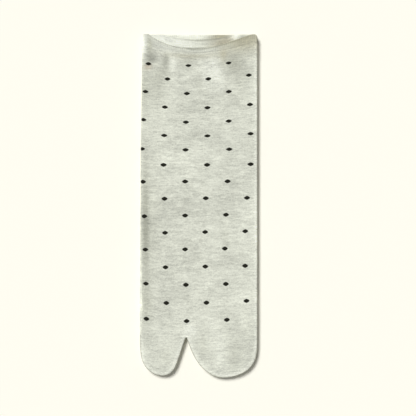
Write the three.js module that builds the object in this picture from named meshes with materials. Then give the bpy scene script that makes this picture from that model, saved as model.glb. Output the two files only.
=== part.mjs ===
// A pair of split-toe (tabi) socks, lying flat with one squarely on the other, soles together.
// Millimetres, +Z up. The origin is under the middle of the pair, on the surface that it lies on:
// +Y runs to the cuffs, -Y to the toes, and +X to the side of the four smaller toes.
// "down" is the distance from the cuffs' top edge towards the toes.
import * as THREE from "three";

// Driving dimensions
const LENGTH = 270; // cuff to the tip of the four-toe pocket
const WIDTH = 92.8; // across the ball of the foot
const WALL = 1.25; // one layer of the knit
const WELT_WALL = 1.4; // the turned, double cuff edge
const THICKNESS = 3.4; // one sock, flat
const WELT_THICKNESS = 3.8; // one sock at its cuff
const WELT_HEIGHT = 8;
const WELT_FADE = 16; // the cuff's extra thickness runs out over this
const FOLD_REACH = 2.3; // how far in from the outline the side folds round over
const NARROW_FOLD = 0.35; // and the most of a narrow pocket's width that a fold takes
const SOCK_GAP = 0.3; // between the two socks
const GAPE = 4.0; // how far the upper sock's mouth stands open
const GAPE_FADE = 75; // and how far down the leg that is felt
const CORNER_RADIUS = 3.2; // of the cuff's right-hand corner
const RIGHT_EDGE = WIDTH / 2;
const TOP = LENGTH / 2;

// The heel pockets, pressed flat between the two socks, are a low swelling on each sole side.
const HEEL = { down: 118, halfLength: 30, halfWidth: 40, fade: 20, height: 0.8 };

// Where the toe pockets part, and half the width of the web between them
const SPLIT = { x: -9.7, down: 238.8, webHalf: 0.5 };
const CLEFT_EASE = 5; // the pockets' inner sides round over within this

// The left-hand edge of each sock. The upper one is drawn in a little along the arch.
const UPPER_EDGE = [
  { down: 0, left: -43.6 },
  { down: 20, left: -44.5 },
  { down: 110, left: -45.6 },
  { down: 180, left: -44.9 },
  { down: 222, left: -44.2 },
  { down: 242, left: -46.2 },
];
const UNDER_EDGE = [
  { down: 0, left: -43.6 },
  { down: 20, left: -44.5 },
  { down: 110, left: -45.7 },
  { down: 180, left: -46.2 },
  { down: 215, left: -WIDTH / 2 },
];

// The toe pockets. A side runs in by its slant, and rounds over to the tip, later for a higher power.
const BIG_TOE = {
  tip: { x: -28.1, down: 268.4 },
  leftSide: { slant: 0, power: 3.2 },
  rightSide: { slant: 0.55, power: 10 },
};
const FOUR_TOES = {
  tip: { x: 19.3, down: LENGTH },
  leftSide: { slant: 0.36, power: 3.3 },
  rightSide: { slant: 0, power: 3.3 },
};

// How the cuff edges sag below the top: from one end to the other, deepest at a point between.
const FRONT_SAG = { from: -39.2, to: 43.4, deepest: -3.3, depth: 12, leftPower: 0.92, rightPower: 1.4 };
const BACK_SAG = { from: -28.5, to: 26.6, deepest: -0.9, depth: 4.1, leftPower: 1, rightPower: 1 };
const NO_SAG = { ...BACK_SAG, depth: 0 };
const SAG_FADE = 14;
const SAG_FADE_POWER = 1.5;

// The largest soft folds of the upper sock's face: troughs below zero, ridges above.
const UPPER_FOLDS = [
  { x: -37.9, down: 18, height: -0.7, halfWidth: 4.5, halfLength: 8 },
  { x: -25.3, down: 22, height: -0.8, halfWidth: 3.6, halfLength: 10 },
  { x: -18.5, down: 23, height: 0.5, halfWidth: 4.0, halfLength: 11 },
  { x: -7.2, down: 22, height: -0.6, halfWidth: 5.0, halfLength: 8 },
  { x: 10.0, down: 30, height: 0.4, halfWidth: 9.0, halfLength: 22 },
  { x: 30.0, down: 29, height: -0.7, halfWidth: 6.5, halfLength: 11 },
];

// Rows of the mesh, and steps across each stretch of a ring
const LEG_ROWS = [0, 3, 8, 11, 15, 20, 26, 33, 42, 56, 76, 90, 97, 104, 118, 132, 139, 146, 180, 210, 229];
const TOE_ROWS = 9;
const LAST_ROW_SHARE = 0.985; // the tip's cap closes the pocket here
const FACE_STEPS = { big: 6, four: 10 };
const SOLE_STEPS = { big: 4, four: 6 };
const FOLD_STEPS = 4;
const ROUNDING = 1e-9;

const mix = (a, b, share) => a + (b - a) * share;
const smooth = (share) => {
  const x = THREE.MathUtils.clamp(share, 0, 1);
  return x * x * (3 - 2 * x);
};

// The left-hand edge at a distance down, eased between the table's rows.
function edgeAt(table, down) {
  const next = table.findIndex((row) => row.down >= down);
  if (next === 0) return table[0].left;
  if (next < 0) return table[table.length - 1].left;
  const [a, b] = [table[next - 1], table[next]];
  return mix(a.left, b.left, smooth((down - a.down) / (b.down - a.down)));
}

// 1 at the cuff's turned edge, fading to 0 in the leg.
const weltShare = (down) => 1 - smooth((down - WELT_HEIGHT) / WELT_FADE);

const thicknessAt = (down) => mix(THICKNESS, WELT_THICKNESS, weltShare(down));
const wallAt = (down) => (down <= WELT_HEIGHT ? WELT_WALL : WALL);

// How far a cuff edge, and the courses below it, sag at x.
function sagAt(sag, x, down) {
  const left = x < sag.deepest;
  const end = left ? sag.from : sag.to;
  const share = Math.min(1, (x - sag.deepest) / (end - sag.deepest));
  const shape = (1 - share * share) ** (left ? sag.leftPower : sag.rightPower);
  return sag.depth * shape * Math.exp(-((down / SAG_FADE) ** SAG_FADE_POWER));
}

// How far the cuff's right-hand corner rounds down at x.
function cornerAt(x, down) {
  const into = THREE.MathUtils.clamp(x - (RIGHT_EDGE - CORNER_RADIUS), 0, CORNER_RADIUS);
  const drop = CORNER_RADIUS - Math.sqrt(CORNER_RADIUS ** 2 - into ** 2);
  return drop * (1 - smooth(down / (3 * CORNER_RADIUS)));
}

// How far a heel pocket swells its sole side at a point.
function heelAt(x, down) {
  const along = smooth((HEEL.halfLength - Math.abs(down - HEEL.down)) / HEEL.fade);
  const across = smooth((HEEL.halfWidth - Math.abs(x)) / HEEL.fade);
  return HEEL.height * along * across;
}

// The height of a sock's face above its flat level: the open mouth, and the soft folds.
function reliefAt(sock, x, down, left) {
  const across = Math.min(1, x / (x < 0 ? left : RIGHT_EDGE));
  let height = sock.gape * (1 - across ** 2) ** 2 * Math.exp(-((down / GAPE_FADE) ** 2));
  for (const fold of sock.folds) {
    const u = (x - fold.x) / fold.halfWidth;
    const v = (down - fold.down) / fold.halfLength;
    height += fold.height * Math.exp(-u * u - v * v);
  }
  return height;
}

// A pocket's side at a distance down; inset is 0 on the outside of the wall, and the wall inside it.
function pocketSide(pocket, side, from, down, inset) {
  const span = pocket.tip.down - inset - SPLIT.down;
  const share = THREE.MathUtils.clamp((down - SPLIT.down) / span, 0, 1);
  const reach = (from - pocket.tip.x) * (1 - side.slant * share);
  return pocket.tip.x + reach * Math.sqrt(1 - share ** side.power);
}

// The stops of a straight stretch, both ends included.
const stops = (from, to, steps) => Array.from({ length: steps + 1 }, (_, i) => mix(from, to, i / steps));

// The points of one ring: over the face, round the right fold, back along the sole, round the left fold.
// inset is 0 for the outside of the wall. A section holds the ring's sides, their folds' reaches, the
// stops between them, and how much of the thickness is left at a tip.
function ringOf(sock, down, inset, section) {
  const { left, right, leftReach, rightReach, faceStops, soleStops, tipShare } = section;
  const half = (thicknessAt(down) / 2 - inset) * tipShare;
  const middle = thicknessAt(down) / 2;
  const outerLeft = edgeAt(sock.edge, down);
  const place = (x, z, face, flat) => {
    const sag = sagAt(face ? sock.faceSag : sock.soleSag, x, down) + cornerAt(x, down);
    const relief = face ? reliefAt(sock, x, down, outerLeft) * tipShare : -heelAt(x, down);
    const height = z + (flat ? relief : 0);
    const lifted = sock.flipped ? 2 * middle - height : height + sock.base(x, down);
    return new THREE.Vector3(x, TOP - down - sag, lifted);
  };
  // The folds' middle points count as the face's, for the sag.
  const fold = (centre, reach, from, to) =>
    stops(from, to, FOLD_STEPS)
      .slice(1, -1)
      .map((angle) => {
        const rise = Math.sin(angle);
        return place(centre + reach * Math.cos(angle), middle + half * rise, rise > -ROUNDING, false);
      });
  return {
    face: faceStops.map((x) => place(x, middle + half, true, true)),
    rightFold: fold(right - rightReach, rightReach, Math.PI / 2, -Math.PI / 2),
    sole: soleStops.map((x) => place(x, middle - half, false, true)),
    leftFold: fold(left + leftReach, leftReach, -Math.PI / 2, (-3 * Math.PI) / 2),
  };
}

// A ring round the leg and foot.
function legRing(sock, down, inset) {
  const reach = FOLD_REACH - inset;
  const [left, right] = [edgeAt(sock.edge, down) + inset, RIGHT_EDGE - inset];
  const web = SPLIT.webHalf + inset;
  const faceStops = [
    ...stops(left + reach, SPLIT.x - web, FACE_STEPS.big),
    ...stops(SPLIT.x + web, right - reach, FACE_STEPS.four),
  ];
  const soleStops = [
    ...stops(right - reach, SPLIT.x + web, SOLE_STEPS.four),
    ...stops(SPLIT.x - web, left + reach, SOLE_STEPS.big),
  ];
  const section = { left, right, leftReach: reach, rightReach: reach, faceStops, soleStops, tipShare: 1 };
  return ringOf(sock, down, inset, section);
}

// The rings of a toe pocket, from the split to just short of its tip.
function pocketRings(sock, pocket, inset) {
  const isBig = pocket === BIG_TOE;
  const web = SPLIT.webHalf + inset;
  const start = {
    left: isBig ? edgeAt(sock.edge, SPLIT.down) + inset : SPLIT.x + web,
    right: isBig ? SPLIT.x - web : RIGHT_EDGE - inset,
  };
  const steps = isBig ? "big" : "four";
  const tipDown = pocket.tip.down - inset;
  const rings = [];
  for (let i = 0; i <= TOE_ROWS; i++) {
    const share = LAST_ROW_SHARE * Math.sin((Math.PI / 2) * (i / TOE_ROWS));
    const down = i === 0 ? SPLIT.down - inset : mix(SPLIT.down, tipDown, share);
    const left = pocketSide(pocket, pocket.leftSide, start.left, down, inset);
    const right = pocketSide(pocket, pocket.rightSide, start.right, down, inset);
    const reach = Math.min(FOLD_REACH - inset, NARROW_FOLD * (right - left));
    const cleftReach = reach * smooth((down - SPLIT.down + inset) / CLEFT_EASE);
    const [leftReach, rightReach] = isBig ? [reach, cleftReach] : [cleftReach, reach];
    const toTip = Math.min(1, (tipDown - down) / (FOLD_REACH - inset));
    const section = {
      left,
      right,
      leftReach,
      rightReach,
      faceStops: stops(left + leftReach, right - rightReach, FACE_STEPS[steps]),
      soleStops: stops(right - rightReach, left + leftReach, SOLE_STEPS[steps]),
      tipShare: Math.sqrt(1 - (1 - toTip) ** 2),
    };
    rings.push(ringOf(sock, down, inset, section));
  }
  return rings;
}

// The point that closes a pocket's tip.
function tipPoint(sock, pocket, inset) {
  const down = pocket.tip.down - inset;
  const middle = thicknessAt(down) / 2;
  const base = sock.flipped ? 0 : sock.base(pocket.tip.x, down);
  return new THREE.Vector3(pocket.tip.x, TOP - down, base + middle);
}

const loopOf = (ring) => [...ring.face, ...ring.rightFold, ...ring.sole, ...ring.leftFold];

// One closed body: the knit's outside, its inside, and the cuff edge that joins them.
function sockMesh(name, sock, material) {
  const points = [];
  const triangles = [];
  const ids = (list) => list.map((point) => points.push(point) - 1);
  const number = (ring) => ({
    face: ids(ring.face),
    rightFold: ids(ring.rightFold),
    sole: ids(ring.sole),
    leftFold: ids(ring.leftFold),
  });
  const add = (a, b, c, turned) => triangles.push(...(turned === sock.flipped ? [a, b, c] : [a, c, b]));
  const join = (upper, lower, turned, closed = true) => {
    const count = closed ? upper.length : upper.length - 1;
    for (let i = 0; i < count; i++) {
      const j = (i + 1) % upper.length;
      add(upper[i], lower[i], lower[j], turned);
      add(upper[i], lower[j], upper[j], turned);
    }
  };

  // One side of the wall; gives back its first ring.
  const side = (insetAt, turned) => {
    const legRings = LEG_ROWS.map((down) => loopOf(number(legRing(sock, down, insetAt(down)))));
    const inset = insetAt(SPLIT.down);
    const big = pocketRings(sock, BIG_TOE, inset).map(number);
    const four = pocketRings(sock, FOUR_TOES, inset).map(number);
    legRings.push(
      loopOf({
        face: [...big[0].face, ...four[0].face],
        rightFold: four[0].rightFold,
        sole: [...four[0].sole, ...big[0].sole],
        leftFold: big[0].leftFold,
      }),
    );
    legRings.slice(1).forEach((lower, i) => join(legRings[i], lower, turned));
    const bigEdge = [big[0].face.at(-1), ...big[0].rightFold, big[0].sole[0]];
    const fourEdge = [four[0].face[0], ...four[0].leftFold.toReversed(), four[0].sole.at(-1)];
    join(fourEdge, bigEdge, turned, false);
    for (const [pocket, rings] of [
      [BIG_TOE, big],
      [FOUR_TOES, four],
    ]) {
      const loops = rings.map(loopOf);
      loops.slice(1).forEach((lower, i) => join(loops[i], lower, turned));
      const tip = points.push(tipPoint(sock, pocket, inset)) - 1;
      const last = loops.at(-1);
      last.forEach((id, i) => add(id, tip, last[(i + 1) % last.length], turned));
    }
    return legRings[0];
  };

  const outside = side(() => 0, false);
  const inside = side(wallAt, true);
  join(inside, outside, false);

  const geometry = new THREE.BufferGeometry();
  geometry.setAttribute("position", new THREE.Float32BufferAttribute(points.flatMap((p) => p.toArray()), 3));
  geometry.setIndex(triangles);
  geometry.computeVertexNormals();
  const mesh = new THREE.Mesh(geometry, material);
  mesh.name = name;
  return mesh;
}

const UNDER_SOCK = {
  edge: UNDER_EDGE,
  faceSag: NO_SAG,
  soleSag: NO_SAG,
  gape: 0,
  folds: [],
  flipped: true,
};

const UPPER_SOCK = {
  edge: UPPER_EDGE,
  faceSag: FRONT_SAG,
  soleSag: BACK_SAG,
  gape: GAPE,
  folds: UPPER_FOLDS,
  flipped: false,
  base: (x, down) => thicknessAt(down) + SOCK_GAP + 2 * heelAt(x, down),
};

const underKnit = new THREE.MeshStandardMaterial({ color: 0xc9cbb9, roughness: 0.95 });
const upperKnit = new THREE.MeshStandardMaterial({ color: 0xd5d7c9, roughness: 0.95 });
const pair = new THREE.Group();
pair.add(sockMesh("sock_under", UNDER_SOCK, underKnit));
pair.add(sockMesh("sock_upper", UPPER_SOCK, upperKnit));

export default pair;
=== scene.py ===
"""A pair of split-toe socks, lying flat with one squarely on the other, soles together.

Sizes are in millimetres unless a name says otherwise, and become metres where a mesh is placed.
"down" is the distance from the cuffs' top edge towards the toes, and x runs from the big toe's side
to the side of the four smaller toes. A sock's cloth is first drawn flat, as (x, down, share), where
share is 1 on the face, -1 on the sole side and 0 along the folded edge, and then laid in place.
"""

from __future__ import annotations

import logging
import math
from dataclasses import dataclass, replace
from enum import Enum

import bmesh
import bpy
from mathutils import Matrix, Vector
from mathutils.kdtree import KDTree


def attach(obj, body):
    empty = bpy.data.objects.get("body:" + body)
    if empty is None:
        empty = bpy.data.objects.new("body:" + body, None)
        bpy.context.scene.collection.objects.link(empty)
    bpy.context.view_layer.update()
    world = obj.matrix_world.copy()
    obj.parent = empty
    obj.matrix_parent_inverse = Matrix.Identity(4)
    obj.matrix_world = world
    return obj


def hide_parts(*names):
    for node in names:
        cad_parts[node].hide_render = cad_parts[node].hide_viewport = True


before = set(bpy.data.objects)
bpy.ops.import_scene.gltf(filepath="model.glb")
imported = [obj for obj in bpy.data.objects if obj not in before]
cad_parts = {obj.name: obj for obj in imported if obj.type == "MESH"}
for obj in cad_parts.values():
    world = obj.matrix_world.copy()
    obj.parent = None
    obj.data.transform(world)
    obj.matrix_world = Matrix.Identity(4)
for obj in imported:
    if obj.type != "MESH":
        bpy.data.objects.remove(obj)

LOG = logging.getLogger("tabi_socks")
MM = 0.001
BODY = "root"
KNIT_UV = "Knit"
# The colour attribute that holds the painted light and shade.
PAINTED_LIGHT = "Tint"
INSIDE = "Inside"

Colour = tuple[float, float, float]
BandPoint = tuple[float, float, float, float]
Noise = tuple[tuple[float, float, float], float]
Sockets = dict[str, bpy.types.NodeSocket]


def mix(a: float, b: float, share: float) -> float:
    """A value that share of the way from a to b."""
    return a + (b - a) * share


def ease(value: float) -> float:
    """A smooth step from 0 at 0 to 1 at 1, flat outside."""
    x = min(1.0, max(0.0, value))
    return x * x * (3 - 2 * x)


def tinted(colour: Colour, tint: Colour, amount: float) -> Colour:
    """A colour multiplied by a tint, by that amount from 0 to 1."""
    red, green, blue = (mix(c, c * t, amount) for c, t in zip(colour, tint))
    return red, green, blue


class Track:
    """A quantity that eases from row to row of a short table."""

    def __init__(self, *rows: tuple[float, float]) -> None:
        """Keeps the table.

        Args:
            rows: pairs of the distance down and the value there, in order.
        """
        self.rows = rows

    def at(self, down: float) -> float:
        """The value at a distance down.

        Args:
            down: distance from the cuff's top edge.

        Returns:
            The eased value, constant before the first row and after the last.
        """
        if down <= self.rows[0][0]:
            return self.rows[0][1]
        for (from_down, a), (to_down, b) in zip(self.rows, self.rows[1:]):
            if down <= to_down:
                return mix(a, b, ease((down - from_down) / (to_down - from_down)))
        return self.rows[-1][1]


@dataclass(frozen=True)
class Side:
    """One side of a toe pocket: it runs in by its slant and rounds over to the tip."""

    slant: float
    power: float


@dataclass(frozen=True)
class Pocket:
    """A toe pocket, by its tip and its two sides."""

    tip_x: float
    tip_down: float
    left: Side
    right: Side

    def reach(self, side: Side, start: float, share: float) -> float:
        """The x of a side.

        Args:
            side: the pocket's left or right side.
            start: that side's x where the pockets part.
            share: 0 where the pockets part, 1 at the tip.

        Returns:
            The x at that share of the pocket's length.
        """
        run = (start - self.tip_x) * (1 - side.slant * share)
        return self.tip_x + run * math.sqrt(max(0.0, 1 - share**side.power))


@dataclass(frozen=True)
class Sag:
    """How far a cuff edge sags between two ends, deepest at a point between."""

    left_end: float
    right_end: float
    deepest: float
    depth: float
    left_power: float = 1.0
    right_power: float = 1.0
    fade: float = 14.0
    fade_power: float = 1.5

    def at(self, x: float, down: float) -> float:
        """The sag of the course at a distance down.

        Args:
            x: place across the sock.
            down: distance from the cuff's edge.

        Returns:
            How far that point moves towards the toes.
        """
        on_left = x < self.deepest
        end = self.left_end if on_left else self.right_end
        across = min(1.0, (x - self.deepest) / (end - self.deepest))
        power = self.left_power if on_left else self.right_power
        fading = math.exp(-((max(0.0, down) / self.fade) ** self.fade_power))
        return self.depth * (1 - across * across) ** power * fading


@dataclass(frozen=True)
class Spot:
    """A soft oval place on the cloth, strongest in its middle."""

    x: float
    down: float
    half_width: float
    half_length: float

    def share(self, x: float, down: float) -> float:
        """How strong the spot is at a point.

        Args:
            x: place across the sock.
            down: distance from the cuff.

        Returns:
            1 in the middle, falling softly to 0.
        """
        across = (x - self.x) / self.half_width
        along = (down - self.down) / self.half_length
        return math.exp(-(across**2) - along**2)


@dataclass(frozen=True)
class Crease(Spot):
    """A soft ridge, or a trough where its height is below zero."""

    height: float


@dataclass(frozen=True)
class PaintedLightPatch(Spot):
    """A soft patch of painted light or shade: a lighter, darker or warmer tint."""

    tint: Colour


@dataclass(frozen=True)
class EdgeHighlightAndShade:
    """A painted highlight just inside the folded edge and painted shade on the fold, at the toes and the
    four toes' side.
    """

    # The first tint is the painted highlight, the second the painted shade on the fold.
    tint: Colour = (1.0, 1.0, 1.0)
    fold_shade_tint: Colour = (1.0, 1.0, 1.0)
    from_x: float = 36.0
    x_fade: float = 8.0
    from_down: float = 228.0
    down_fade: float = 20.0
    inside: float = 1.5
    half_width: float = 1.3
    fold_share: float = 0.85
    fold_fade: float = 1 / 3

    def over(self, colour: Colour, x: float, down: float, share: float, inside: float) -> Colour:
        """Paints the highlight along the rim and the shade on the fold into a colour.

        Args:
            colour: the colour so far.
            x: place across the sock.
            down: distance from the cuff.
            share: 1 on the face, -1 on the sole side, 0 on the folded edge.
            inside: distance from the folded edge, across the sock.

        Returns:
            The tinted colour.
        """
        here = max(ease((x - self.from_x) / self.x_fade), ease((down - self.from_down) / self.down_fade))
        rim = math.exp(-(((inside - self.inside) / self.half_width) ** 2))
        fold = ease((self.fold_share - abs(share)) / self.fold_fade)
        return tinted(tinted(colour, self.tint, rim * here), self.fold_shade_tint, fold * here)


@dataclass(frozen=True)
class Cut:
    """The sizes that both socks share.

    A fold reaches fold_reach in from the edge. Along the cloth, side_arc lies between the edge and the face.
    """

    length: float = 270.0
    right: float = 46.4
    split_x: float = -9.7
    split_down: float = 238.8
    web_half: float = 0.5
    fold_reach: float = 1.4
    side_arc: float = 2.45
    thickness: float = 3.4
    welt_thickness: float = 3.8
    welt_height: float = 8.0
    welt_fade: float = 16.0
    corner_radius: float = 3.2
    corner_fade: float = 9.6
    heel_down: float = 118.0
    heel_half_length: float = 30.0
    heel_half_width: float = 40.0
    heel_fade: float = 20.0
    heel_height: float = 0.8
    gap: float = 0.3
    big_toe: Pocket = Pocket(-28.1, 268.4, Side(0.0, 3.2), Side(0.55, 10.0))
    four_toes: Pocket = Pocket(19.3, 270.0, Side(0.36, 3.3), Side(0.0, 3.3))

    @property
    def web(self) -> tuple[float, float]:
        """The x of both ends of the web where the pockets part."""
        return self.split_x - self.web_half, self.split_x + self.web_half

    def thickness_at(self, down: float) -> float:
        """A sock's flat thickness: more at the turned cuff, fading into the leg."""
        share = 1 - ease((down - self.welt_height) / self.welt_fade)
        return mix(self.thickness, self.welt_thickness, share)

    def corner_at(self, x: float, down: float) -> float:
        """The cuff's rounded right-hand corner.

        Args:
            x: place across the sock.
            down: distance from the cuff.

        Returns:
            How far that point moves down.
        """
        into = min(self.corner_radius, max(0.0, x - (self.right - self.corner_radius)))
        drop = self.corner_radius - math.sqrt(self.corner_radius**2 - into**2)
        return drop * (1 - ease(down / self.corner_fade))

    def heel_at(self, x: float, down: float) -> float:
        """The pressed heel pocket's swelling of the sole side.

        Args:
            x: place across the sock.
            down: distance from the cuff.

        Returns:
            How far that point stands out.
        """
        along = ease((self.heel_half_length - abs(down - self.heel_down)) / self.heel_fade)
        across = ease((self.heel_half_width - abs(x)) / self.heel_fade)
        return self.heel_height * along * across


CUT = Cut()


@dataclass(frozen=True)
class Lie:
    """How one sock lies and is shaded: its left edge, mouth, creases, painted light and shade, and which way
    up it is.
    """

    left_edge: Track
    front_sag: Sag
    back_sag: Sag
    instep_up: bool
    gape: float = 0.0
    gape_fade: float = 75.0
    creases: tuple[Crease, ...] = ()
    # Patches of painted light and shade, on the face and on the sole side.
    face_painted_light: tuple[PaintedLightPatch, ...] = ()
    sole_painted_light: tuple[PaintedLightPatch, ...] = ()
    rim: EdgeHighlightAndShade = EdgeHighlightAndShade()

    def relief(self, x: float, down: float) -> float:
        """The face's height above its flat level.

        Args:
            x: place across the sock.
            down: distance from the cuff.

        Returns:
            The open mouth's lift and the creases, together.
        """
        across = min(1.0, x / (self.left_edge.at(down) if x < 0 else CUT.right))
        mouth = self.gape * (1 - across**2) ** 2 * math.exp(-((down / self.gape_fade) ** 2))
        return mouth + sum(crease.height * crease.share(x, down) for crease in self.creases)

    def place(self, x: float, down: float, share: float, offset: float) -> Vector:
        """Lays a point of the flat cloth in place.

        Args:
            x: place across the sock.
            down: distance from the cuff.
            share: 1 on the face, -1 on the sole side, 0 on the folded edge.
            offset: how far outside the cloth's outer surface.

        Returns:
            The point, in metres, in the frame of the pair.
        """
        half = CUT.thickness_at(down) / 2
        face, sole = max(0.0, share), max(0.0, -share)
        sag = mix(self.back_sag.at(x, down), self.front_sag.at(x, down), (1 + share) / 2)
        sag += CUT.corner_at(x, down)
        heel = CUT.heel_at(x, down)
        height = half + (half + offset) * share + self.relief(x, down) * face - heel * sole
        if self.instep_up:
            height += 2 * half + CUT.gap + 2 * heel
        else:
            height = 2 * half - height
        return Vector((x, CUT.length / 2 - down - sag, height)) * MM

    def tint(self, x: float, down: float, share: float, inside: float) -> Colour:
        """The painted light and shade that multiplies the yarn's colour at a point of the flat cloth.

        Args:
            x: place across the sock.
            down: distance from the cuff.
            share: 1 on the face, -1 on the sole side, 0 on the folded edge.
            inside: distance from the folded edge, across the sock.

        Returns:
            The colour.
        """
        colour = (1.0, 1.0, 1.0)
        for patch in self.face_painted_light if share >= 0 else self.sole_painted_light:
            colour = tinted(colour, patch.tint, patch.share(x, down))
        return self.rim.over(colour, x, down, share, inside)


@dataclass(frozen=True)
class KnitCount:
    """How the knit's wales and courses run over a sock, in periods of its dots."""

    axis: Track = Track((22, -7.9), (65, -9.9), (115, -10.5), (165, -10.6), (225, -9.4))
    period: Track = Track((22, 31.4), (60, 33.4), (96, 34.3), (135, 32.2), (165, 31.2), (235, 31.6))
    rows: tuple[tuple[float, float], ...] = ((22.9, 0), (90.2, 6), (102.4, 7), (168.7, 12), (224.1, 16))
    rise: Track = Track((20, 0.012), (36, 0.012), (60, 0.003), (110, 0.004), (150, 0.02), (225, 0.016))
    bow: Track = Track(
        (22, 1.2), (38, 2.4), (70, 2.4), (90, 1.0), (102, 0.5), (120, 0.0), (185, 0.0), (225, 1.6)
    )
    bow_mean: float = 0.35
    bow_middle: float = -2.0
    bow_half_width: float = 42.0
    right_lift: Track = Track((22, 1.0), (45, 0.5), (70, 0.0))
    right_from: float = 5.0
    edge_lift: Track = Track((150, 0.0), (180, 0.6), (205, 1.6), (225, 1.0))
    edge_from: float = -26.0
    edge_width: float = 18.0
    periods_round: int = 6

    def across(self, x: float, down: float) -> float:
        """The wales, in dot columns from the middle one."""
        return (x - self.axis.at(down)) / self.period.at(down)

    def along(self, x: float, down: float) -> float:
        """The courses, in dot rows from the first one.

        Args:
            x: place across the sock.
            down: distance from the cuff.

        Returns:
            The count, which rises across the sock, bows in the middle and lifts at the left edge.
        """
        middle = max(0.0, 1 - ((x - self.bow_middle) / self.bow_half_width) ** 2)
        place = down + self.rise.at(down) * x - self.bow.at(down) * (middle - self.bow_mean)
        place += self.edge_lift.at(down) * ease((self.edge_from - x) / self.edge_width)
        place += self.right_lift.at(down) * ease((x - self.right_from) / self.edge_width)
        pairs = list(zip(self.rows, self.rows[1:]))
        (a, row_a), (b, row_b) = next((pair for pair in pairs if place < pair[1][0]), pairs[-1])
        return mix(row_a, row_b, (place - a) / (b - a))

    def uv(self, x: float, down: float, share: float, on_sole: bool, left: float) -> Vector:
        """The knit's own coordinates of a point of the flat cloth.

        Args:
            x: place across the sock.
            down: distance from the cuff.
            share: 1 on the face, -1 on the sole side, 0 on the folded edge.
            on_sole: whether the point is wanted for a face of the sole side.
            left: the sock's left edge at that distance down.

        Returns:
            Dot columns round the sock, and dot rows along it.
        """
        arc = CUT.side_arc * (1 - 2 / math.pi * math.asin(min(1.0, abs(share))))
        to_right = max(0.0, x - (CUT.right - CUT.fold_reach))
        to_left = max(0.0, left + CUT.fold_reach - x)
        flat_x = x - to_right + to_left
        if to_right > 0:
            flat_x += arc
        if to_left > 0:
            flat_x -= arc
        u = self.across(flat_x, down)
        if on_sole:
            u_right = self.across(CUT.right - CUT.fold_reach + CUT.side_arc, down)
            u_left = self.across(left + CUT.fold_reach - CUT.side_arc, down)
            back_share = (u_right - u) / (u_right - u_left)
            u = u_right + back_share * (self.periods_round - (u_right - u_left))
        return Vector((u, self.along(x, down)))


KNIT = KnitCount()


@dataclass
class Piece:
    """What every piece of a sock is built with."""

    name: str
    lie: Lie
    material: bpy.types.Material

    def finish_mesh(self, mesh_data: bmesh.types.BMesh) -> bpy.types.Object:
        """Turns a laid bmesh into an object that rides on the part.

        Args:
            mesh_data: the piece in place, in metres.

        Returns:
            The new object.
        """
        bmesh.ops.recalc_face_normals(mesh_data, faces=mesh_data.faces[:])
        if mesh_data.calc_volume(signed=True) < 0:
            bmesh.ops.reverse_faces(mesh_data, faces=mesh_data.faces[:])
        for face in mesh_data.faces:
            face.smooth = True
        mesh = bpy.data.meshes.new(self.name)
        mesh_data.to_mesh(mesh)
        mesh_data.free()
        mesh.materials.append(self.material)
        piece = bpy.data.objects.new(self.name, mesh)
        bpy.context.scene.collection.objects.link(piece)
        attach(piece, BODY)
        return piece


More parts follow.
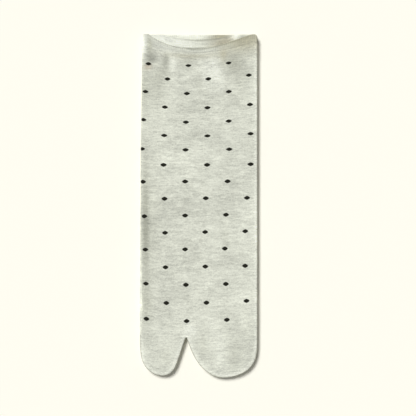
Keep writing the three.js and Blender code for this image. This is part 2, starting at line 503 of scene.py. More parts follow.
@dataclass
class SockCloth(Piece):
    """The leg, foot and both toe pockets of one sock, knitted as one tube and tucked under its welt."""

    top: float = 5.0
    big_columns: int = 26
    four_columns: int = 36
    fold_columns: int = 4
    leg_step: float = 1.55
    fine_rows: tuple[float, ...] = (5.4, 3.9, 2.7, 1.8, 1.1, 0.5)
    toe_rows: int = 30
    gather: float = 22.0
    wall: float = 0.95
    under_welt: float = 0.4
    tucked_to: float = 6.5
    tuck_fade: float = 3.5
    most_fold: float = 0.3
    outline_step: float = 0.12
    pocket_steps: int = 1400
    face_merge: float = 1e-4
    side_merge: float = 1e-5

    def rows(self) -> list[float]:
        """The rows of the leg and foot.

        Returns:
            Each row's distance down, ending where the pockets part.
        """
        last_even = CUT.split_down - self.fine_rows[0] - self.leg_step
        count = round((last_even - self.top) / self.leg_step)
        even = [mix(self.top, last_even, i / count) for i in range(count + 1)]
        return [*even, *(CUT.split_down - gap for gap in self.fine_rows), CUT.split_down]

    def stations(self, left: float, right: float, columns: int, folds: tuple[bool, bool]) -> list[float]:
        """The x of each column between two edges, closer together at a fold.

        Args:
            left: x of the left edge.
            right: x of the right edge.
            columns: how many steps to take.
            folds: whether the left and the right edge are folds.

        Returns:
            The columns' places, both edges included.
        """
        reach = min(CUT.fold_reach, self.most_fold * (right - left))
        turns = [math.pi / 2 * i / self.fold_columns for i in range(self.fold_columns)]
        bends = [reach * (1 - math.cos(turn)) for turn in turns]
        start = left + (reach if folds[0] else 0.0)
        end = right - (reach if folds[1] else 0.0)
        steps = columns - self.fold_columns * sum(folds)
        places = [left + bend for bend in bends] if folds[0] else []
        places += [mix(start, end, i / steps) for i in range(steps + 1)]
        if folds[1]:
            places += [right - bend for bend in reversed(bends)]
        return places

    def row_places(self, down: float) -> list[float]:
        """The columns of a row of the leg or foot, which gather towards both pockets' folds.

        Args:
            down: the row's distance from the cuff.

        Returns:
            Each column's x.
        """
        left = self.lie.left_edge.at(down)
        inner, outer = CUT.web
        even = self.stations(left, inner, self.big_columns, (True, False))
        even += self.stations(outer, CUT.right, self.four_columns, (False, True))
        blend = ease(1 - (CUT.split_down - down) / self.gather)
        return [mix(a, b, blend) for a, b in zip(even, self.parted_places(left, 0.0))]

    def pocket_downs(self, pocket: Pocket, share: float) -> float:
        """The distance down of a share of a pocket's length."""
        return mix(CUT.split_down, pocket.tip_down, share)

    def parted_places(self, left: float, share: float) -> list[float]:
        """The columns across both pockets.

        Args:
            left: x of the left edge where the pockets part.
            share: 0 where the pockets part, 1 at their tips.

        Returns:
            Each column's x.
        """
        big, four = CUT.big_toe, CUT.four_toes
        inner, outer = CUT.web
        big_sides = (big.reach(big.left, left, share), big.reach(big.right, inner, share))
        four_sides = (four.reach(four.left, outer, share), four.reach(four.right, CUT.right, share))
        places = self.stations(*big_sides, self.big_columns, (True, True))
        return places + self.stations(*four_sides, self.four_columns, (True, True))

    def outline(self) -> KDTree:
        """The folded edge of the whole sock.

        Returns:
            Its closely spaced points, ready to be searched.
        """
        left = self.lie.left_edge.at(CUT.split_down)
        inner, outer = CUT.web
        points = [(self.lie.left_edge.at(d), d) for d in self.spaced(0.0, CUT.split_down)]
        points += [(CUT.right, d) for d in self.spaced(0.0, CUT.split_down)]
        points += [(x, CUT.split_down) for x in self.spaced(inner, outer)]
        for pocket, side, start in (
            (CUT.big_toe, CUT.big_toe.left, left),
            (CUT.big_toe, CUT.big_toe.right, inner),
            (CUT.four_toes, CUT.four_toes.left, outer),
            (CUT.four_toes, CUT.four_toes.right, CUT.right),
        ):
            for angle in self.spaced(0.0, math.pi / 2, self.pocket_steps):
                share = math.sin(angle)
                points.append((pocket.reach(side, start, share), self.pocket_downs(pocket, share)))
        tree = KDTree(len(points))
        for i, (x, down) in enumerate(points):
            tree.insert((x, down, 0.0), i)
        tree.balance()
        return tree

    def spaced(self, start: float, end: float, count: int = 0) -> list[float]:
        """Evenly spaced values, by count or by the outline's step."""
        steps = count or max(1, math.ceil((end - start) / self.outline_step))
        return [mix(start, end, i / steps) for i in range(steps + 1)]

    def flat_face(self) -> bmesh.types.BMesh:
        """One half of the sock: a grid, slit between the toes and fitted to the outline.

        Returns:
            The instep side as flat cloth, each vertex at (x, down, share).
        """
        leg_rows = self.rows()
        last_leg = len(leg_rows) - 1
        columns = self.big_columns + self.four_columns + 1
        rows = last_leg + self.toe_rows
        cloth = bmesh.new()
        bmesh.ops.create_grid(cloth, x_segments=columns, y_segments=rows, size=1.0)
        insides = cloth.verts.layers.float.new(INSIDE)
        spots = {v: (round((v.co.x + 1) / 2 * columns), round((1 - v.co.y) / 2 * rows)) for v in cloth.verts}
        slit = [
            face
            for face in cloth.faces
            if min(spots[v][1] for v in face.verts) >= last_leg
            and {spots[v][0] for v in face.verts} == {self.big_columns, self.big_columns + 1}
        ]
        bmesh.ops.delete(cloth, geom=slit, context="FACES_ONLY")
        slit_edges = [edge for edge in cloth.edges if not edge.link_faces]
        bmesh.ops.delete(cloth, geom=slit_edges, context="EDGES")

        places = [self.row_places(down) for down in leg_rows]
        shares = [math.sin(math.pi / 2 * i / self.toe_rows) for i in range(self.toe_rows + 1)]
        left = self.lie.left_edge.at(CUT.split_down)
        parted = [self.parted_places(left, share) for share in shares]
        outline = self.outline()
        for vert, (column, row) in spots.items():
            if not vert.is_valid:
                continue
            if row <= last_leg:
                x, down = places[row][column], leg_rows[row]
            else:
                x = parted[row - last_leg][column]
                pocket = CUT.big_toe if column <= self.big_columns else CUT.four_toes
                down = self.pocket_downs(pocket, shares[row - last_leg])
            vert[insides] = outline.find((x, down, 0.0))[2]
            vert.co = (x, down, self.fold_share(vert, x, down, vert[insides]))
        bmesh.ops.remove_doubles(cloth, verts=cloth.verts[:], dist=self.face_merge)
        return cloth

    def fold_share(self, vert: bmesh.types.BMVert, x: float, down: float, inside: float) -> float:
        """How much of the half thickness a point of the face stands at, rounding over to the fold.

        Args:
            vert: the point, which is on the fold itself where it is on a boundary.
            x: its place across the sock.
            down: its distance from the cuff.
            inside: its distance from the folded edge.

        Returns:
            0 on the fold, 1 on the flat of the face.
        """
        if vert.is_boundary and down > self.top:
            return 0.0
        if down <= self.top and x in (self.lie.left_edge.at(down), CUT.right):
            return 0.0
        return math.sqrt(1 - (1 - min(1.0, inside / CUT.fold_reach)) ** 2)

    def lay(self, cloth: bmesh.types.BMesh) -> None:
        """Writes the knit's coordinates and the painted light and shade, then moves each flat point into
        place.

        Args:
            cloth: both sides of the sock as flat cloth, each vertex at (x, down, share).
        """
        uv_layer = cloth.loops.layers.uv.new(KNIT_UV)
        painted_light_layer = cloth.verts.layers.float_color.new(PAINTED_LIGHT)
        insides = cloth.verts.layers.float[INSIDE]
        for face in cloth.faces:
            on_sole = face.calc_center_median().z < 0
            for loop in face.loops:
                x, down, share = loop.vert.co
                loop[uv_layer].uv = KNIT.uv(x, down, share, on_sole, self.lie.left_edge.at(down))
        for vert in cloth.verts:
            x, down, share = vert.co
            vert[painted_light_layer] = (*self.lie.tint(x, down, share, vert[insides]), 1.0)
            tucked = self.under_welt * (1 - ease((down - self.tucked_to) / self.tuck_fade))
            vert.co = self.lie.place(x, down, share, -tucked)

    def build(self) -> bpy.types.Object:
        """The whole sock, with a wall.

        Returns:
            The sock's object.
        """
        cloth = self.flat_face()
        half = [*cloth.verts, *cloth.edges, *cloth.faces]
        bmesh.ops.mirror(cloth, geom=half, matrix=Matrix.Identity(4), merge_dist=self.side_merge, axis="Z")
        self.lay(cloth)
        sock = self.finish_mesh(cloth)
        wall = sock.modifiers.new("wall", "SOLIDIFY")
        wall.thickness = self.wall * MM
        wall.offset = -1.0
        return sock


@dataclass
class RibbedWelt(Piece):
    """The turned edge of a cuff: a double, finely ribbed band all round the mouth."""

    ribs: int = 108
    columns_per_rib: int = 4
    rib_depth: float = 0.09
    rib_shade: float = 0.14
    rib_rise: float = 1.4
    rim_smoothing: float = 0.6
    inner_ribs: float = 0.25
    shade_depth: float = 1.6
    far_inside: float = 20.0
    wall: float = 1.5
    height: float = 8.8
    tuck: float = 0.55
    tuck_rise: float = 3.2
    inner_tuck: float = 0.25
    least_reach: float = 0.2
    merge: float = 1e-7
    outer_rows: int = 9
    rim_rows: int = 6
    inner_rows: int = 6

    def profile(self) -> list[tuple[float, float, float]]:
        """The band's section, from its lower edge outside, over the rim, and back along the inside.

        Returns:
            For each row its distance down, its offset from the sock's outer surface, and its share of
            the ribs' depth.
        """
        radius = self.wall / 2
        rows = []
        for i in range(self.outer_rows):
            share = i / (self.outer_rows - 1)
            down = mix(self.height, radius, share)
            rows.append((down, -self.tuck * (1 - ease(share * self.tuck_rise)), ease(share * self.rib_rise)))
        for i in range(1, self.rim_rows):
            angle = math.pi * i / self.rim_rows
            offset = -radius + radius * math.cos(angle)
            rows.append((radius * (1 - math.sin(angle)), offset, 1 - self.rim_smoothing * math.sin(angle)))
        for i in range(self.inner_rows):
            share = i / (self.inner_rows - 1)
            offset = -self.wall + self.inner_tuck * ease(share)
            rows.append((mix(radius, self.height, share), offset, self.inner_ribs))
        return rows

    def ring_point(self, turn: float, down: float, offset: float) -> tuple[float, float]:
        """A point of the ring round the mouth.

        Args:
            turn: share of the way round, from the left end of the face.
            down: distance from the cuff's edge.
            offset: how far outside the sock's outer surface.

        Returns:
            Its x and its share of the half thickness.
        """
        left = self.lie.left_edge.at(down) + CUT.fold_reach
        right = CUT.right - CUT.fold_reach
        face, fold = right - left, 2 * CUT.side_arc
        way = (turn % 1.0) * 2 * (face + fold)
        reach = max(self.least_reach, CUT.fold_reach + offset)
        if way < face:
            return left + way, 1.0
        if way < face + fold:
            angle = math.pi / 2 - math.pi * (way - face) / fold
            return right + reach * math.cos(angle), math.sin(angle)
        if way < 2 * face + fold:
            return right - (way - face - fold), -1.0
        angle = -math.pi / 2 - math.pi * (way - 2 * face - fold) / fold
        return left + reach * math.cos(angle), math.sin(angle)

    def build(self) -> bpy.types.Object:
        """The band as a closed ring.

        Returns:
            The welt's object.
        """
        profile = self.profile()
        columns = self.ribs * self.columns_per_rib
        rows = len(profile)
        band = bmesh.new()
        bmesh.ops.create_grid(band, x_segments=columns, y_segments=rows, size=1.0)
        band.verts.index_update()
        places: dict[int, BandPoint] = {}
        for vert in band.verts:
            turn = (vert.co.x + 1) / 2
            down, offset, rib_share = profile[round((vert.co.y + 1) / 2 * rows) % rows]
            groove = (1 - math.cos(2 * math.pi * self.ribs * turn)) * rib_share
            x, share = self.ring_point(turn, down, offset)
            places[vert.index] = (x, down, share, offset - self.rib_depth * groove)
        self.lay_band(band, places)
        bmesh.ops.remove_doubles(band, verts=band.verts[:], dist=self.merge)
        return self.finish_mesh(band)

    def lay_band(self, band: bmesh.types.BMesh, places: dict[int, BandPoint]) -> None:
        """Writes the knit's coordinates and the painted light and shade of the band, with painted shade in
        its rib grooves, then moves it into place.

        Args:
            band: the band as a plain grid.
            places: x, distance down, share and offset of each vertex, by index.
        """
        uv_layer = band.loops.layers.uv.new(KNIT_UV)
        painted_light_layer = band.verts.layers.float_color.new(PAINTED_LIGHT)
        for face in band.faces:
            on_sole = face.calc_center_median().x > 0
            for loop in face.loops:
                x, down, share, _ = places[loop.vert.index]
                loop[uv_layer].uv = KNIT.uv(x, down, share, on_sole, self.lie.left_edge.at(down))
        for vert in band.verts:
            x, down, share, offset = places[vert.index]
            rib = math.cos(math.pi * self.ribs * (vert.co.x + 1)) / 2
            seen = ease(1 + self.shade_depth * offset / self.wall) * ease(1 - down / self.height)
            shade = 1 + self.rib_shade * rib * seen
            tint = self.lie.tint(x, down, share, self.far_inside)
            vert[painted_light_layer] = (*(channel * shade for channel in tint), 1.0)
            vert.co = self.lie.place(x, down, share, offset)


class Nodes:
    """A short hand for building a node tree."""

    def __init__(self, tree: bpy.types.NodeTree) -> None:
        """Keeps the tree that nodes are added to."""
        self.tree = tree

    def add(self, kind: str, **settings: object) -> bpy.types.Node:
        """Adds a node and sets its properties.

        Args:
            kind: the node's type.
            settings: property names and values.

        Returns:
            The new node.
        """
        node = self.tree.nodes.new(kind)
        for name, value in settings.items():
            setattr(node, name, value)
        return node

    def wire(self, value: object, socket: bpy.types.NodeSocket) -> None:
        """Links an output to a socket, or sets the socket to a plain value.

        Args:
            value: another node's output, or the value.
            socket: the input that takes it.
        """
        if isinstance(value, bpy.types.NodeSocket):
            self.tree.links.new(value, socket)
        else:
            socket.default_value = value

    def math(self, operation: str, *values: object) -> bpy.types.NodeSocket:
        """Adds a Math node.

        Args:
            operation: its operation.
            values: one to three outputs or numbers.

        Returns:
            Its result.
        """
        node = self.add("ShaderNodeMath", operation=operation)
        for value, socket in zip(values, node.inputs):
            self.wire(value, socket)
        return node.outputs[0]

    def split(self, vector: object) -> bpy.types.bpy_prop_collection:
        """The X, Y and Z outputs of a vector."""
        node = self.add("ShaderNodeSeparateXYZ")
        self.wire(vector, node.inputs[0])
        return node.outputs

    def scaled(self, vector: object, scale: tuple[float, float, float]) -> bpy.types.NodeSocket:
        """Multiplies a vector by another, part by part.

        Args:
            vector: the vector's output.
            scale: the other vector.

        Returns:
            The product.
        """
        node = self.add("ShaderNodeVectorMath", operation="MULTIPLY")
        self.wire(vector, node.inputs[0])
        node.inputs[1].default_value = scale
        return node.outputs[0]

    def noise(self, vector: object, detail: float, roughness: float) -> bpy.types.NodeSocket:
        """Adds a Noise Texture at scale 1.

        Args:
            vector: where it is read.
            detail: its detail.
            roughness: its roughness.

        Returns:
            Its value.
        """
        node = self.add("ShaderNodeTexNoise")
        self.wire(vector, node.inputs["Vector"])
        self.wire(1.0, node.inputs["Scale"])
        self.wire(detail, node.inputs["Detail"])
        self.wire(roughness, node.inputs["Roughness"])
        return node.outputs["Fac"]

    def blend(self, share: object, a: object, b: object, kind: str = "MIX") -> bpy.types.NodeSocket:
        """Mixes two colours.

        Args:
            share: how much of the mix is wanted.
            a: the first colour.
            b: the second colour.
            kind: the blend type.

        Returns:
            The mixed colour.
        """
        node = self.add("ShaderNodeMix", data_type="RGBA", blend_type=kind)
        self.wire(share, node.inputs["Factor"])
        self.wire(a, node.inputs["A"])
        self.wire(b, node.inputs["B"])
        return node.outputs["Result"]


class EffectGroup(Enum):
    """The shader groups that the finishes share."""

    HEATHER = "heather_yarn"
    STITCHES = "jersey_stitches"
    DOTS = "jacquard_dots"


def new_group(
    effect: EffectGroup, inputs: dict[str, str], outputs: dict[str, str]
) -> tuple[Nodes, Sockets, Sockets]:
    """An empty shader group with named sockets.

    Args:
        effect: which group it is.
        inputs: socket names and kinds.
        outputs: socket names and kinds.

    Returns:
        The group's nodes, its input sockets by name, and its output sockets by name.
    """
    tree = bpy.data.node_groups.new(effect.value, "ShaderNodeTree")
    for name, kind in inputs.items():
        tree.interface.new_socket(name, in_out="INPUT", socket_type=kind)
    for name, kind in outputs.items():
        tree.interface.new_socket(name, in_out="OUTPUT", socket_type=kind)
    nodes = Nodes(tree)
    source = nodes.add("NodeGroupInput")
    target = nodes.add("NodeGroupOutput")
    return nodes, {n: source.outputs[n] for n in inputs}, {n: target.inputs[n] for n in outputs}


FLOAT, VECTOR, COLOUR = "NodeSocketFloat", "NodeSocketVector", "NodeSocketColor"
YARN_DETAIL, YARN_ROUGHNESS = 1.5, 0.55
YARN_STREAKS = (((160.0, 10.0, 130.0), 0.50), ((420.0, 14.0, 300.0), 0.42), ((60.0, 7.0, 60.0), 0.22))
YARN_SPECKS = ((950.0, 1000.0, 950.0), 0.46)
YARN_BANDS = ((80.0, 2.8, 70.0), 0.26)
YARN_CLOUDS = ((32.0, 36.0, 45.0), 0.30)
V_LEVEL, V_DEPTH = 0.75, 0.25
DOT_SIDE_POWER, DOT_TIP_POWER = 1.25, 1.7


def heather_group() -> bpy.types.NodeTree:
    """Mixed light and dark fibres: streaks along the courses, fine specks, and thick and thin places.

    Returns:
        The group's tree.
    """
    nodes, given, out = new_group(
        EffectGroup.HEATHER,
        {"Place": VECTOR, "Courses": FLOAT, "Colour": COLOUR, "Streaks": FLOAT, "Mottle": FLOAT},
        {"Colour": COLOUR, "Value": FLOAT},
    )
    place = nodes.split(given["Place"])
    joined = nodes.add("ShaderNodeCombineXYZ")
    for axis, value in (("X", place["X"]), ("Y", given["Courses"]), ("Z", place["Z"])):
        nodes.wire(value, joined.inputs[axis])
    along = joined.outputs[0]

    def layers(*noises: tuple[object, Noise]) -> bpy.types.NodeSocket:
        """Adds up layers of noise about zero.

        Args:
            noises: for each layer the vector it reads, and its scale and weight.

        Returns:
            The layers' sum.
        """
        value = 0.0
        for vector, (scale, weight) in noises:
            noise = nodes.noise(nodes.scaled(vector, scale), YARN_DETAIL, YARN_ROUGHNESS)
            value = nodes.math("MULTIPLY_ADD", nodes.math("SUBTRACT", noise, 0.5), weight, value)
        return value

    streaks = layers(*((along, streak) for streak in YARN_STREAKS), (given["Place"], YARN_SPECKS))
    mottle = layers((along, YARN_BANDS), (given["Place"], YARN_CLOUDS))
    streaks = nodes.math("MULTIPLY", streaks, given["Streaks"])
    mottle = nodes.math("MULTIPLY", mottle, given["Mottle"])
    value = nodes.math("ADD", nodes.math("ADD", streaks, mottle), 1.0)
    node = nodes.add("ShaderNodeVectorMath", operation="SCALE")
    nodes.wire(given["Colour"], node.inputs[0])
    nodes.wire(value, node.inputs["Scale"])
    nodes.wire(node.outputs[0], out["Colour"])
    nodes.wire(value, out["Value"])
    return nodes.tree


def stitches_group() -> bpy.types.NodeTree:
    """The height of plain jersey: rows of small V shapes, one for each wale and course.

    Returns:
        The group's tree.
    """
    nodes, given, out = new_group(
        EffectGroup.STITCHES,
        {"Knit": VECTOR, "Wales": FLOAT, "Courses": FLOAT, "Lean": FLOAT},
        {"Height": FLOAT},
    )
    knit = nodes.split(given["Knit"])
    wale = nodes.math("FRACT", nodes.math("MULTIPLY", knit["X"], given["Wales"]))
    from_middle = nodes.math("ABSOLUTE", nodes.math("MULTIPLY_ADD", wale, 2.0, -1.0))
    leg = nodes.math("SINE", nodes.math("MULTIPLY", from_middle, math.pi))
    course = nodes.math("MULTIPLY", knit["Y"], given["Courses"])
    leaning = nodes.math("MULTIPLY_ADD", from_middle, given["Lean"], course)
    loop = nodes.math("COSINE", nodes.math("MULTIPLY", leaning, 2 * math.pi))
    rounded = nodes.math("MULTIPLY_ADD", loop, V_DEPTH, V_LEVEL)
    nodes.wire(nodes.math("MULTIPLY", leg, rounded), out["Height"])
    return nodes.tree


def dots_group() -> bpy.types.NodeTree:
    """Small pointed dots knitted in, at each column of every other row and between them in the rest.

    Returns:
        The group's tree.
    """
    nodes, given, out = new_group(
        EffectGroup.DOTS,
        {"Knit": VECTOR, "Half Width": FLOAT, "Half Height": FLOAT, "Rows": FLOAT, "Edge": FLOAT},
        {"Mask": FLOAT},
    )
    knit = nodes.split(given["Knit"])
    row = nodes.math("ROUND", knit["Y"])
    from_row = nodes.math("SUBTRACT", knit["Y"], row)
    half_step = nodes.math("MULTIPLY", nodes.math("ABSOLUTE", nodes.math("MODULO", row, 2.0)), 0.5)
    column = nodes.math("SUBTRACT", knit["X"], half_step)
    from_column = nodes.math("SUBTRACT", column, nodes.math("ROUND", column))
    across = nodes.math("DIVIDE", nodes.math("ABSOLUTE", from_column), given["Half Width"])
    along = nodes.math("DIVIDE", nodes.math("ABSOLUTE", from_row), given["Half Height"])
    to_sides = nodes.math("POWER", across, DOT_SIDE_POWER)
    reach = nodes.math("ADD", to_sides, nodes.math("POWER", along, DOT_TIP_POWER))
    past_edge = nodes.math("DIVIDE", nodes.math("SUBTRACT", reach, 1.0), given["Edge"])
    clamped = nodes.add("ShaderNodeClamp")
    nodes.wire(nodes.math("SUBTRACT", 0.5, past_edge), clamped.inputs["Value"])
    after_first = nodes.math("GREATER_THAN", row, -0.5)
    before_last = nodes.math("LESS_THAN", row, given["Rows"])
    wanted = nodes.math("MULTIPLY", after_first, before_last)
    nodes.wire(nodes.math("MULTIPLY", clamped.outputs[0], wanted), out["Mask"])
    return nodes.tree


@dataclass(frozen=True)
class KnitFinish:
    """Matte heathered jersey, with or without its dots."""

    name: str
    yarn: tuple[float, float, float, float] = (0.778, 0.794, 0.682, 1.0)
    dot_yarn: tuple[float, float, float, float] = (0.012, 0.012, 0.006, 1.0)
    streaks: float = 1.1
    mottle: float = 1.6
    wales: float = 36.0
    courses: float = 14.0
    lean: float = 0.4
    relief: float = 0.22 * MM
    yarn_relief: float = 0.8
    dots: bool = True
    dot_half_width: float = 0.0735
    dot_half_height: float = 0.121
    dot_rows: float = 16.5
    dot_edge: float = 0.22
    roughness: float = 0.92
    sheen: float = 0.12
    sheen_roughness: float = 0.5
    specular: float = 0.2

    def group(self, nodes: Nodes, effect: EffectGroup, **values: object) -> bpy.types.Node:
        """Places a shared group.

        Args:
            nodes: the material's nodes.
            effect: which group it is.
            values: its inputs by name, with spaces written as underscores.

        Returns:
            The group's node.
        """
        node = nodes.add("ShaderNodeGroup", node_tree=bpy.data.node_groups[effect.value])
        for name, value in values.items():
            nodes.wire(value, node.inputs[name.replace("_", " ")])
        return node

    def material(self) -> bpy.types.Material:
        """The finish as a material.

        Returns:
            The new material.
        """
        made = bpy.data.materials.new(self.name)
        made.use_nodes = True
        nodes = Nodes(made.node_tree)
        shader = made.node_tree.nodes["Principled BSDF"]
        place = nodes.add("ShaderNodeTexCoord").outputs["Object"]
        knit = nodes.add("ShaderNodeUVMap", uv_map=KNIT_UV).outputs["UV"]
        tint = nodes.add("ShaderNodeAttribute", attribute_name=PAINTED_LIGHT)
        heather = self.group(
            nodes,
            EffectGroup.HEATHER,
            Place=place,
            Courses=nodes.split(knit)["Y"],
            Colour=self.yarn,
            Streaks=self.streaks,
            Mottle=self.mottle,
        )
        # The attribute multiplies the painted light and shade into the yarn's colour.
        colour = nodes.blend(1.0, heather.outputs["Colour"], tint.outputs["Color"], "MULTIPLY")
        stitches = self.group(
            nodes, EffectGroup.STITCHES, Knit=knit, Wales=self.wales, Courses=self.courses, Lean=self.lean
        )
        if self.dots:
            dots = self.group(
                nodes,
                EffectGroup.DOTS,
                Knit=knit,
                Half_Width=self.dot_half_width,
                Half_Height=self.dot_half_height,
                Rows=self.dot_rows,
                Edge=self.dot_edge,
            )
            colour = nodes.blend(dots.outputs["Mask"], colour, self.dot_yarn)
        nodes.wire(colour, shader.inputs["Base Color"])
        bump = nodes.add("ShaderNodeBump")
        bump.inputs["Distance"].default_value = self.relief
        bump.inputs["Strength"].default_value = 1.0
        yarn_height = nodes.math("MULTIPLY", heather.outputs["Value"], self.yarn_relief)
        height = nodes.math("ADD", yarn_height, stitches.outputs["Height"])
        nodes.wire(height, bump.inputs["Height"])
        nodes.wire(bump.outputs["Normal"], shader.inputs["Normal"])
        shader.inputs["Roughness"].default_value = self.roughness
        shader.inputs["Sheen Weight"].default_value = self.sheen
        shader.inputs["Sheen Roughness"].default_value = self.sheen_roughness
        shader.inputs["Specular IOR Level"].default_value = self.specular
        return made


FRONT_SAG = Sag(left_end=-39.2, right_end=43.4, deepest=-3.3, depth=12.0, left_power=0.92, right_power=1.4)
BACK_SAG = Sag(left_end=-28.5, right_end=26.6, deepest=-0.9, depth=4.1)
NO_SAG = replace(BACK_SAG, depth=0.0)
# A painted highlight along the left edge.
EDGE_HIGHLIGHT = PaintedLightPatch(-46.0, 205.0, 4.0, 40.0, (1.25, 1.25, 1.27))

UPPER_LIE = Lie(
    left_edge=Track((0, -43.6), (20, -44.5), (110, -45.6), (180, -44.9), (222, -44.2), (242, -46.2)),
    front_sag=FRONT_SAG,
    back_sag=BACK_SAG,
    instep_up=True,
    gape=4.0,
    creases=(
        Crease(-37.9, 18.0, 4.5, 8.0, -0.7),
        Crease(-25.3, 22.0, 3.6, 10.0, -0.8),
        Crease(-18.5, 23.0, 4.0, 11.0, 0.5),
        Crease(-7.2, 22.0, 5.0, 8.0, -0.6),
        Crease(10.0, 30.0, 9.0, 22.0, 0.4),
        Crease(30.0, 29.0, 6.5, 11.0, -0.7),
    ),
    # Painted light and shade on the face: spots that copy the shading of the creases and of the left fold, a
    # painted shadow line under the front rim, a painted highlight at the top left edge, and warm painted
    # shade at the top right corner.
    face_painted_light=(
        PaintedLightPatch(38.0, 3.0, 20.0, 10.0, (0.78, 0.74, 0.64)),
        PaintedLightPatch(19.5, 13.0, 3.0, 8.0, (0.88, 0.85, 0.78)),
        PaintedLightPatch(-44.2, 10.0, 3.3, 10.0, (1.66, 1.66, 1.72)),
        PaintedLightPatch(-38.6, 8.0, 2.0, 6.0, (0.90, 0.90, 0.84)),
        PaintedLightPatch(0.0, 0.3, 34.0, 1.0, (0.62, 0.62, 0.59)),
        PaintedLightPatch(26.0, 0.3, 13.0, 1.2, (0.70, 0.69, 0.64)),
        PaintedLightPatch(-37.6, 19.0, 4.2, 4.2, (0.62, 0.62, 0.61)),
        PaintedLightPatch(-25.4, 21.5, 2.9, 7.0, (0.68, 0.68, 0.67)),
        PaintedLightPatch(-30.2, 14.5, 3.4, 3.0, (1.16, 1.16, 1.17)),
        PaintedLightPatch(-33.0, 43.0, 10.0, 19.0, (0.82, 0.82, 0.81)),
        PaintedLightPatch(-20.2, 21.0, 2.8, 8.5, (1.22, 1.22, 1.24)),
        PaintedLightPatch(-30.5, 32.0, 5.0, 7.0, (0.92, 0.92, 0.91)),
        PaintedLightPatch(-7.5, 22.0, 5.0, 5.0, (0.91, 0.91, 0.90)),
        PaintedLightPatch(8.5, 25.0, 9.0, 12.0, (1.24, 1.24, 1.26)),
        PaintedLightPatch(15.0, 34.0, 5.5, 14.0, (1.17, 1.17, 1.18)),
        PaintedLightPatch(0.4, 36.0, 2.6, 8.0, (0.93, 0.93, 0.92)),
        PaintedLightPatch(26.5, 22.0, 6.5, 7.5, (0.80, 0.80, 0.78)),
        PaintedLightPatch(33.0, 31.0, 9.0, 20.0, (0.91, 0.91, 0.90)),
        PaintedLightPatch(29.0, 60.0, 9.0, 6.0, (1.12, 1.12, 1.12)),
        PaintedLightPatch(12.0, 72.0, 8.0, 8.0, (1.10, 1.10, 1.10)),
        PaintedLightPatch(13.0, 105.0, 13.0, 12.0, (0.90, 0.90, 0.90)),
        PaintedLightPatch(-6.0, 13.0, 22.0, 4.0, (0.92, 0.90, 0.85)),
        PaintedLightPatch(-28.0, 6.0, 8.0, 5.0, (1.09, 1.09, 1.11)),
        PaintedLightPatch(-43.0, 42.0, 4.0, 22.0, (0.90, 0.90, 0.88)),
        PaintedLightPatch(-41.6, 148.0, 2.8, 48.0, (0.66, 0.66, 0.63)),
        PaintedLightPatch(-36.0, 150.0, 6.0, 44.0, (0.96, 0.96, 0.95)),
        PaintedLightPatch(-17.0, 184.0, 8.0, 15.0, (1.11, 1.11, 1.11)),
        PaintedLightPatch(-41.0, 212.0, 4.5, 16.0, (0.90, 0.90, 0.88)),
        PaintedLightPatch(-39.8, 25.6, 3.0, 2.0, (0.95, 0.84, 0.78)),
        PaintedLightPatch(21.0, 161.0, 3.0, 10.0, (0.92, 0.92, 0.91)),
        PaintedLightPatch(-7.0, 233.0, 5.0, 5.0, (1.13, 1.13, 1.15)),
        PaintedLightPatch(3.5, 244.0, 3.5, 10.0, (0.91, 0.91, 0.90)),
        PaintedLightPatch(28.0, 250.0, 5.5, 12.0, (0.90, 0.90, 0.89)),
        PaintedLightPatch(37.0, 230.0, 5.0, 11.0, (1.10, 1.10, 1.09)),
        PaintedLightPatch(4.0, 229.0, 7.0, 9.0, (0.93, 0.93, 0.93)),
        PaintedLightPatch(17.0, 250.0, 4.5, 14.0, (1.09, 1.09, 1.10)),
        PaintedLightPatch(-26.0, 254.0, 4.5, 7.0, (0.90, 0.90, 0.89)),
        PaintedLightPatch(-33.0, 252.0, 10.0, 13.0, (1.11, 1.11, 1.11)),
        PaintedLightPatch(22.0, 256.0, 22.0, 14.0, (1.03, 1.03, 1.03)),
    ),
    # Painted light and shade on the inside seen through the mouth: lightened where the front is over it,
    # warm painted shade to the right, a painted shadow line at the rim, and a near-white spot at its right
    # end.
    sole_painted_light=(
        PaintedLightPatch(-24.0, 5.0, 23.0, 8.0, (1.48, 1.48, 1.54)),
        PaintedLightPatch(20.0, 5.0, 11.0, 8.0, (0.78, 0.73, 0.65)),
        PaintedLightPatch(2.0, 0.2, 26.0, 1.1, (0.52, 0.52, 0.49)),
        PaintedLightPatch(28.8, 1.2, 3.2, 3.0, (1.85, 1.88, 2.00)),
    ),
    # A painted highlight inside the toes' edges and painted shade on their folded edges.
    rim=EdgeHighlightAndShade(tint=(1.22, 1.22, 1.23), fold_shade_tint=(0.55, 0.54, 0.51)),
)

UNDER_LIE = Lie(
    left_edge=Track((0, -43.6), (20, -44.5), (110, -45.7), (180, -46.2), (215, -46.4)),
    front_sag=NO_SAG,
    back_sag=NO_SAG,
    instep_up=False,
    # Painted light and shade on the cuff that shows past the upper sock: lightened to the left, a warm
    # painted shadow of the upper sock's rim to the right, and the painted highlight along the left edge.
    sole_painted_light=(
        PaintedLightPatch(-12.0, 3.0, 24.0, 8.0, (1.22, 1.22, 1.24)),
        PaintedLightPatch(18.0, 2.0, 9.0, 6.0, (0.64, 0.60, 0.50)),
        EDGE_HIGHLIGHT,
    ),
    face_painted_light=(EDGE_HIGHLIGHT,),
)


@dataclass
class Sock:
    """One sock of the pair: its cloth and its welt."""

    name: str
    node: str
    lie: Lie
    rests_on: tuple[str, ...]
    flat: tuple[float, float] = (0.1855, 0.27)
    area: float = 0.0475

    def build(self, knit: bpy.types.Material, rib: bpy.types.Material) -> list[bpy.types.Object]:
        """Args:
            knit: the finish of the leg and foot.
            rib: the finish of the welt.

        Returns:
            The sock's pieces.
        """
        cloth = SockCloth(f"{self.name}_cloth", self.lie, knit).build()
        welt = RibbedWelt(f"{self.name}_welt", self.lie, rib).build()
        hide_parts(self.node)
        return [cloth, welt]


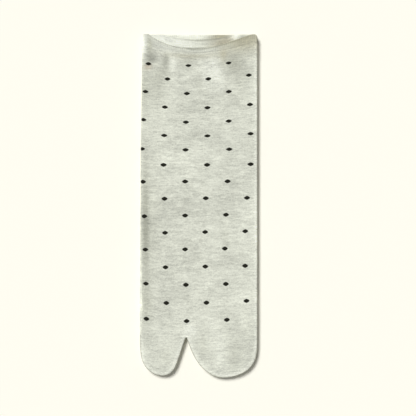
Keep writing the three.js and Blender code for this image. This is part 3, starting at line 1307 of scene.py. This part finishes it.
@dataclass(frozen=True)
class Studio:
    """A pale floor, soft light from the upper left, and the camera straight above."""

    floor_size: float = 6.0
    floor_colour: tuple[float, float, float, float] = (0.962, 0.944, 0.846, 1.0)
    sky: float = 0.23
    sun: float = 2.97
    sun_elevation_deg: float = 59.5
    sun_azimuth_deg: float = 127.0
    sun_softness_deg: float = 21.0
    lens: float = 95.0
    frame_width: float = 0.3265
    aim: tuple[float, float, float] = (0.0074, -0.0015, 0.0071)

    def floor(self) -> None:
        """The surface that the pair lies on."""
        grid = bmesh.new()
        bmesh.ops.create_grid(grid, x_segments=1, y_segments=1, size=self.floor_size / 2)
        mesh = bpy.data.meshes.new("floor")
        grid.to_mesh(mesh)
        grid.free()
        floor = bpy.data.objects.new("floor", mesh)
        bpy.context.scene.collection.objects.link(floor)
        made = bpy.data.materials.new("cream_floor")
        made.use_nodes = True
        shader = made.node_tree.nodes["Principled BSDF"]
        shader.inputs["Base Color"].default_value = self.floor_colour
        shader.inputs["Roughness"].default_value = 1.0
        shader.inputs["Specular IOR Level"].default_value = 0.0
        mesh.materials.append(made)

    def light(self) -> None:
        """An even sky and one soft key light."""
        world = bpy.data.worlds.new("studio")
        world.use_nodes = True
        background = world.node_tree.nodes["Background"]
        background.inputs["Color"].default_value = (1.0, 1.0, 1.0, 1.0)
        background.inputs["Strength"].default_value = self.sky
        bpy.context.scene.world = world
        key = bpy.data.lights.new("key", "SUN")
        key.energy = self.sun
        key.angle = math.radians(self.sun_softness_deg)
        lamp = bpy.data.objects.new("key", key)
        azimuth, elevation = math.radians(self.sun_azimuth_deg), math.radians(self.sun_elevation_deg)
        level = math.cos(elevation)
        towards = Vector((math.cos(azimuth) * level, math.sin(azimuth) * level, math.sin(elevation)))
        lamp.rotation_mode = "QUATERNION"
        lamp.rotation_quaternion = towards.to_track_quat("Z", "Y")
        bpy.context.scene.collection.objects.link(lamp)

    def camera(self) -> None:
        """A long lens looking straight down."""
        data = bpy.data.cameras.new("above")
        data.lens = self.lens
        camera = bpy.data.objects.new("above", data)
        distance = self.frame_width * self.lens / data.sensor_width
        camera.location = (self.aim[0], self.aim[1], self.aim[2] + distance)
        bpy.context.scene.collection.objects.link(camera)
        bpy.context.scene.camera = camera

    def build(self) -> None:
        """Sets up floor, light, camera and plain colour handling."""
        self.floor()
        self.light()
        self.camera()
        bpy.context.scene.view_settings.view_transform = "Standard"


def main() -> None:
    """Builds the studio and the pair, in order."""
    logging.basicConfig(level=logging.INFO, format="%(name)s: %(message)s")
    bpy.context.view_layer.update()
    Studio().build()
    for make_group in (heather_group, stitches_group, dots_group):
        make_group()
    knit = KnitFinish("dotted_jersey").material()
    rib = KnitFinish("welt_rib", dots=False, streaks=0.85).material()
    socks = (
        Sock("under_sock", "sock_under", UNDER_LIE, ("floor",)),
        Sock("upper_sock", "sock_upper", UPPER_LIE, ("under_sock_cloth",)),
    )
    for sock in socks:
        for piece in sock.build(knit, rib):
            LOG.info("%s: %d faces", piece.name, len(piece.data.polygons))


if __name__ == "__main__":
    main()
